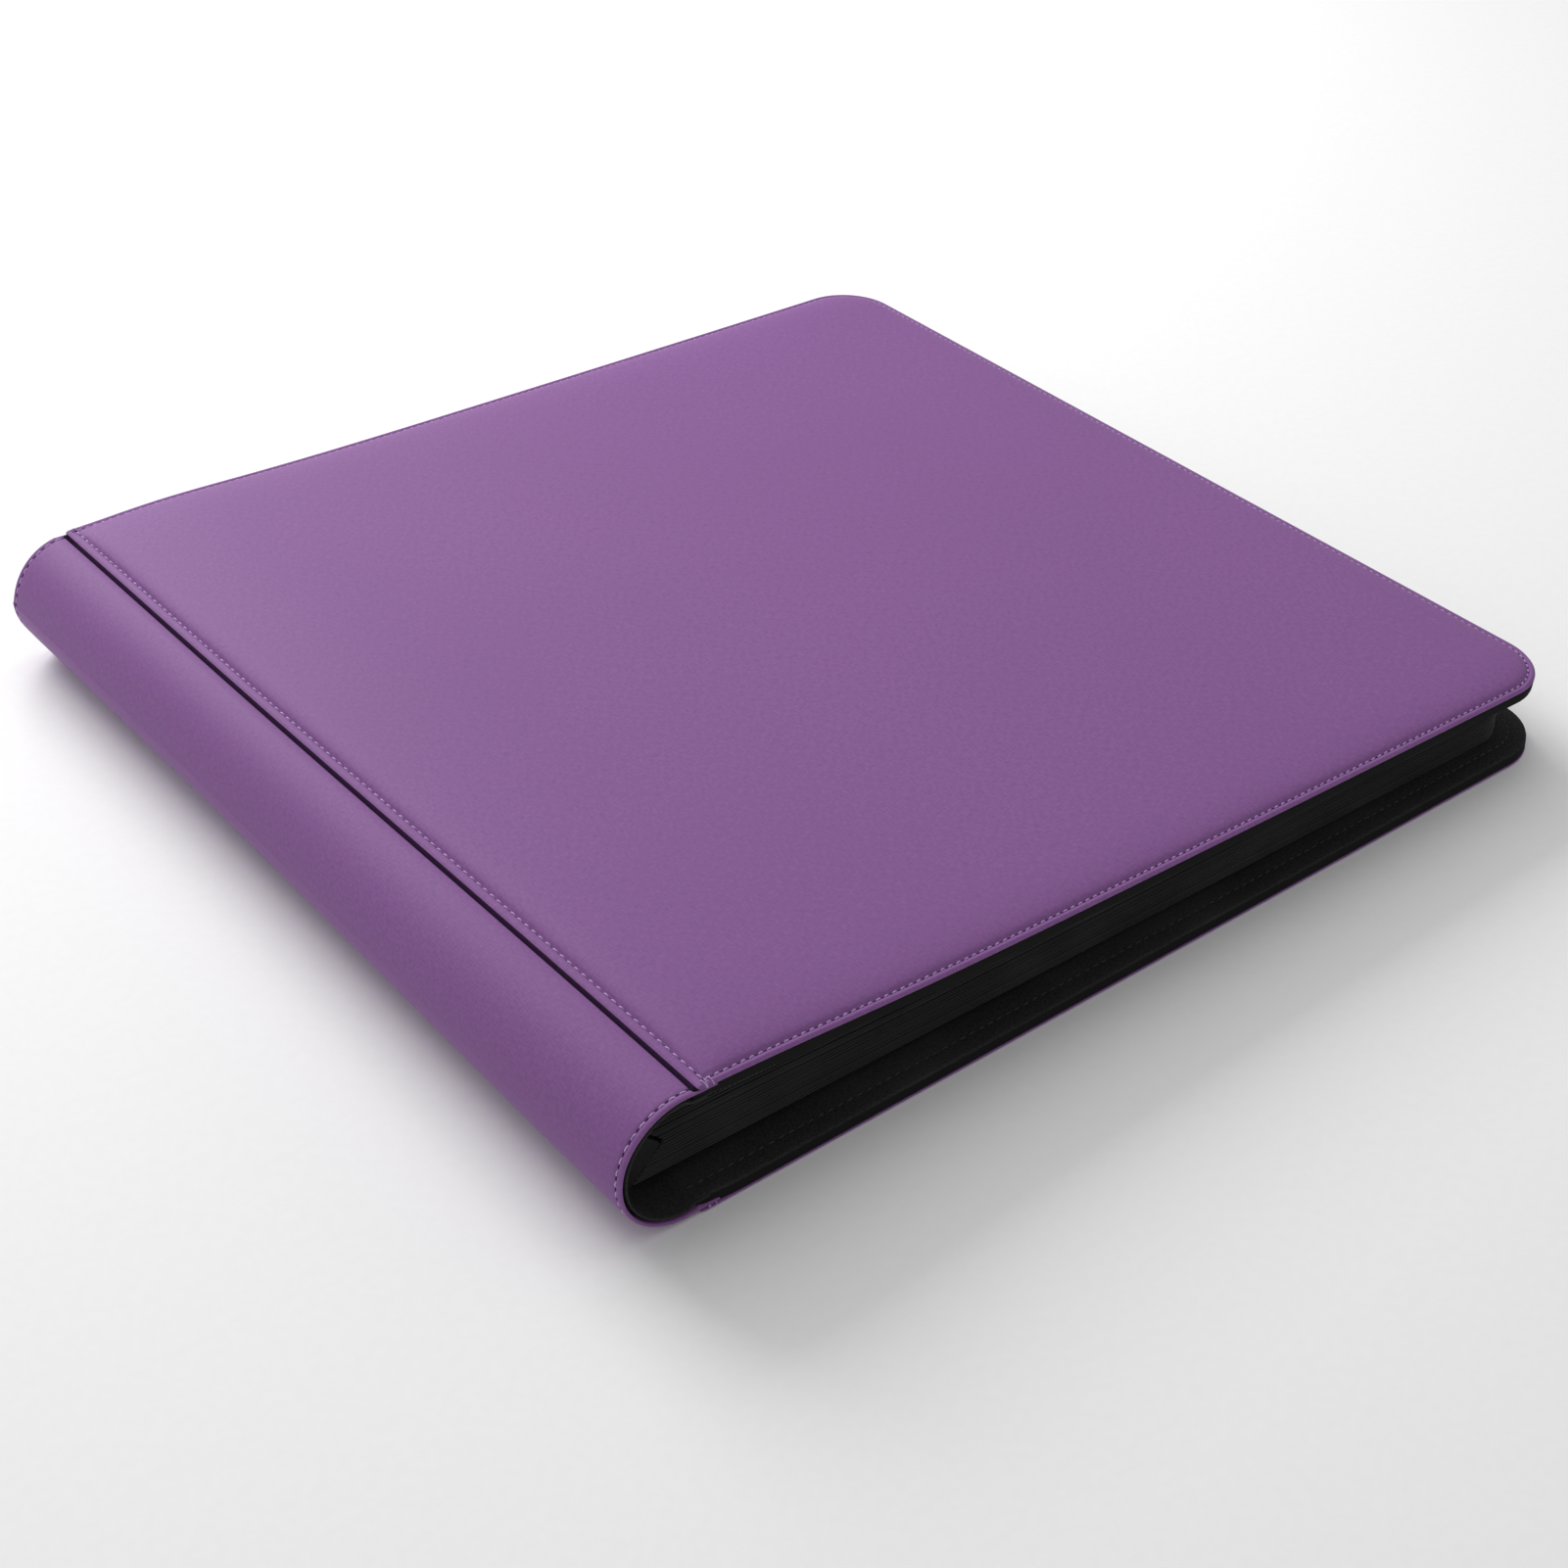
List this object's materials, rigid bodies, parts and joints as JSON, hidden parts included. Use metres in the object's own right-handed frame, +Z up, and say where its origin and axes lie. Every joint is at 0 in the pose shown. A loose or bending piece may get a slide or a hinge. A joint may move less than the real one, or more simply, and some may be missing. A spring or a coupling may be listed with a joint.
{
  "type": "trading card binder",
  "caption": "Square padded binder for trading cards, with a rounded spine that unrolls, stitched covers and a block of black pocket leaves.",
  "frame": {"origin": "centre of the closed binder's outline, on the surface that its back cover lies on", "axes": "+X from the spine to the fore-edge, +Y along the spine, +Z up through the front cover"},
  "size_m": [0.3594, 0.345, 0.0429],
  "materials": {
    "leatherette": "satin purple leatherette with a fine woven grain",
    "thread": "lilac sewing thread",
    "lining": "matt black lining",
    "foam": "padding foam",
    "board": "grey board",
    "stiffener": "bendable plastic sheet",
    "binding": "matt black",
    "leaf_sheet": "matt black sheet with clear pockets"
  },
  "bodies": {
    "back_cover": {"back_cover_leather": "leatherette", "back_cover_foam": "foam", "back_cover_board": "board", "back_cover_lining": "lining", "back_cover_thread": "thread", "back_cover_spine_margin": "leatherette"},
    "spine_band_1": {"spine_leather_1": "leatherette", "spine_stiffener_1": "stiffener", "spine_lining_1": "lining", "spine_thread_1": "thread"},
    "spine_band_2": {"spine_leather_2": "leatherette", "spine_stiffener_2": "stiffener", "spine_lining_2": "lining", "spine_thread_2": "thread", "binding_block": "binding"},
    "spine_band_3": {"spine_leather_3": "leatherette", "spine_stiffener_3": "stiffener", "spine_lining_3": "lining", "spine_thread_3": "thread"},
    "front_cover": {"front_cover_leather": "leatherette", "front_cover_foam": "foam", "front_cover_board": "board", "front_cover_lining": "lining", "front_cover_thread": "thread", "front_cover_spine_margin": "leatherette"},
    "leaf_01": {"leaf_01": "leaf_sheet"},
    "leaf_02": {"leaf_02": "leaf_sheet"},
    "leaf_03": {"leaf_03": "leaf_sheet"},
    "leaf_04": {"leaf_04": "leaf_sheet"},
    "leaf_05": {"leaf_05": "leaf_sheet"},
    "leaf_06": {"leaf_06": "leaf_sheet"},
    "leaf_07": {"leaf_07": "leaf_sheet"},
    "leaf_08": {"leaf_08": "leaf_sheet"},
    "leaf_09": {"leaf_09": "leaf_sheet"},
    "leaf_10": {"leaf_10": "leaf_sheet"},
    "leaf_11": {"leaf_11": "leaf_sheet"},
    "leaf_12": {"leaf_12": "leaf_sheet"},
    "leaf_13": {"leaf_13": "leaf_sheet"},
    "leaf_14": {"leaf_14": "leaf_sheet"},
    "leaf_15": {"leaf_15": "leaf_sheet"},
    "leaf_16": {"leaf_16": "leaf_sheet"},
    "leaf_17": {"leaf_17": "leaf_sheet"},
    "leaf_18": {"leaf_18": "leaf_sheet"},
    "leaf_19": {"leaf_19": "leaf_sheet"},
    "leaf_20": {"leaf_20": "leaf_sheet"}
  },
  "joints": [
    {"name": "back_seam", "type": "hinge", "parent": "back_cover", "child": "spine_band_1", "pos_m": [-0.1593, 0, 0.0011], "axis": [0, -1, 0], "range_deg": [0, 30]},
    {"name": "spine_fold_1", "type": "hinge", "parent": "spine_band_1", "child": "spine_band_2", "pos_m": [-0.17697, 0, 0.0113], "axis": [0, -1, 0], "range_deg": [0, 60.02]},
    {"name": "spine_fold_2", "type": "hinge", "parent": "spine_band_2", "child": "spine_band_3", "pos_m": [-0.17697, 0, 0.0317], "axis": [0, -1, 0], "range_deg": [0, 60.02]},
    {"name": "front_seam", "type": "hinge", "parent": "spine_band_3", "child": "front_cover", "pos_m": [-0.1593, 0, 0.0419], "axis": [0, -1, 0], "range_deg": [0, 32.07]},
    {"name": "leaf_01_hinge", "type": "hinge", "parent": "spine_band_2", "child": "leaf_01", "pos_m": [-0.17048, 0, 0.01181], "axis": [0, -1, 0], "range_deg": [-89.29, 0]},
    {"name": "leaf_02_hinge", "type": "hinge", "parent": "spine_band_2", "child": "leaf_02", "pos_m": [-0.16943, 0, 0.01283], "axis": [0, -1, 0], "range_deg": [-89.29, 0]},
    {"name": "leaf_03_hinge", "type": "hinge", "parent": "spine_band_2", "child": "leaf_03", "pos_m": [-0.16838, 0, 0.01385], "axis": [0, -1, 0], "range_deg": [-89.29, 0]},
    {"name": "leaf_04_hinge", "type": "hinge", "parent": "spine_band_2", "child": "leaf_04", "pos_m": [-0.16733, 0, 0.01487], "axis": [0, -1, 0], "range_deg": [-89.3, 0]},
    {"name": "leaf_05_hinge", "type": "hinge", "parent": "spine_band_2", "child": "leaf_05", "pos_m": [-0.16628, 0, 0.01589], "axis": [0, -1, 0], "range_deg": [-89.3, 0]},
    {"name": "leaf_06_hinge", "type": "hinge", "parent": "spine_band_2", "child": "leaf_06", "pos_m": [-0.16523, 0, 0.01691], "axis": [0, -1, 0], "range_deg": [-89.3, 0]},
    {"name": "leaf_07_hinge", "type": "hinge", "parent": "spine_band_2", "child": "leaf_07", "pos_m": [-0.16418, 0, 0.01793], "axis": [0, -1, 0], "range_deg": [-89.3, 0]},
    {"name": "leaf_08_hinge", "type": "hinge", "parent": "spine_band_2", "child": "leaf_08", "pos_m": [-0.16313, 0, 0.01895], "axis": [0, -1, 0], "range_deg": [-89.31, 0]},
    {"name": "leaf_09_hinge", "type": "hinge", "parent": "spine_band_2", "child": "leaf_09", "pos_m": [-0.16208, 0, 0.01997], "axis": [0, -1, 0], "range_deg": [-89.31, 0]},
    {"name": "leaf_10_hinge", "type": "hinge", "parent": "spine_band_2", "child": "leaf_10", "pos_m": [-0.16103, 0, 0.02099], "axis": [0, -1, 0], "range_deg": [-89.31, 0]},
    {"name": "leaf_11_hinge", "type": "hinge", "parent": "spine_band_2", "child": "leaf_11", "pos_m": [-0.16103, 0, 0.02201], "axis": [0, -1, 0], "range_deg": [0, 91.39]},
    {"name": "leaf_12_hinge", "type": "hinge", "parent": "spine_band_2", "child": "leaf_12", "pos_m": [-0.16208, 0, 0.02303], "axis": [0, -1, 0], "range_deg": [0, 91.38]},
    {"name": "leaf_13_hinge", "type": "hinge", "parent": "spine_band_2", "child": "leaf_13", "pos_m": [-0.16313, 0, 0.02405], "axis": [0, -1, 0], "range_deg": [0, 91.37]},
    {"name": "leaf_14_hinge", "type": "hinge", "parent": "spine_band_2", "child": "leaf_14", "pos_m": [-0.16418, 0, 0.02507], "axis": [0, -1, 0], "range_deg": [0, 91.36]},
    {"name": "leaf_15_hinge", "type": "hinge", "parent": "spine_band_2", "child": "leaf_15", "pos_m": [-0.16523, 0, 0.02609], "axis": [0, -1, 0], "range_deg": [0, 91.35]},
    {"name": "leaf_16_hinge", "type": "hinge", "parent": "spine_band_2", "child": "leaf_16", "pos_m": [-0.16628, 0, 0.02711], "axis": [0, -1, 0], "range_deg": [0, 91.34]},
    {"name": "leaf_17_hinge", "type": "hinge", "parent": "spine_band_2", "child": "leaf_17", "pos_m": [-0.16733, 0, 0.02813], "axis": [0, -1, 0], "range_deg": [0, 91.33]},
    {"name": "leaf_18_hinge", "type": "hinge", "parent": "spine_band_2", "child": "leaf_18", "pos_m": [-0.16838, 0, 0.02915], "axis": [0, -1, 0], "range_deg": [0, 91.33]},
    {"name": "leaf_19_hinge", "type": "hinge", "parent": "spine_band_2", "child": "leaf_19", "pos_m": [-0.16943, 0, 0.03017], "axis": [0, -1, 0], "range_deg": [0, 91.32]},
    {"name": "leaf_20_hinge", "type": "hinge", "parent": "spine_band_2", "child": "leaf_20", "pos_m": [-0.17048, 0, 0.03119], "axis": [0, -1, 0], "range_deg": [0, 91.31]}
  ],
  "couplings": [
    {"joint": "spine_fold_1", "follows": "back_seam", "ratio": 2},
    {"joint": "spine_fold_2", "follows": "back_seam", "ratio": 2},
    {"joint": "front_seam", "follows": "back_seam", "ratio": 1.0684},
    {"joint": "leaf_01_hinge", "follows": "back_seam", "ratio": -2.9747},
    {"joint": "leaf_02_hinge", "follows": "back_seam", "ratio": -2.9747},
    {"joint": "leaf_03_hinge", "follows": "back_seam", "ratio": -2.9748},
    {"joint": "leaf_04_hinge", "follows": "back_seam", "ratio": -2.9749},
    {"joint": "leaf_05_hinge", "follows": "back_seam", "ratio": -2.9749},
    {"joint": "leaf_06_hinge", "follows": "back_seam", "ratio": -2.975},
    {"joint": "leaf_07_hinge", "follows": "back_seam", "ratio": -2.9751},
    {"joint": "leaf_08_hinge", "follows": "back_seam", "ratio": -2.9752},
    {"joint": "leaf_09_hinge", "follows": "back_seam", "ratio": -2.9752},
    {"joint": "leaf_10_hinge", "follows": "back_seam", "ratio": -2.9753},
    {"joint": "leaf_11_hinge", "follows": "back_seam", "ratio": 3.0445},
    {"joint": "leaf_12_hinge", "follows": "back_seam", "ratio": 3.0442},
    {"joint": "leaf_13_hinge", "follows": "back_seam", "ratio": 3.044},
    {"joint": "leaf_14_hinge", "follows": "back_seam", "ratio": 3.0437},
    {"joint": "leaf_15_hinge", "follows": "back_seam", "ratio": 3.0434},
    {"joint": "leaf_16_hinge", "follows": "back_seam", "ratio": 3.0431},
    {"joint": "leaf_17_hinge", "follows": "back_seam", "ratio": 3.0428},
    {"joint": "leaf_18_hinge", "follows": "back_seam", "ratio": 3.0426},
    {"joint": "leaf_19_hinge", "follows": "back_seam", "ratio": 3.0423},
    {"joint": "leaf_20_hinge", "follows": "back_seam", "ratio": 3.042}
  ]
}
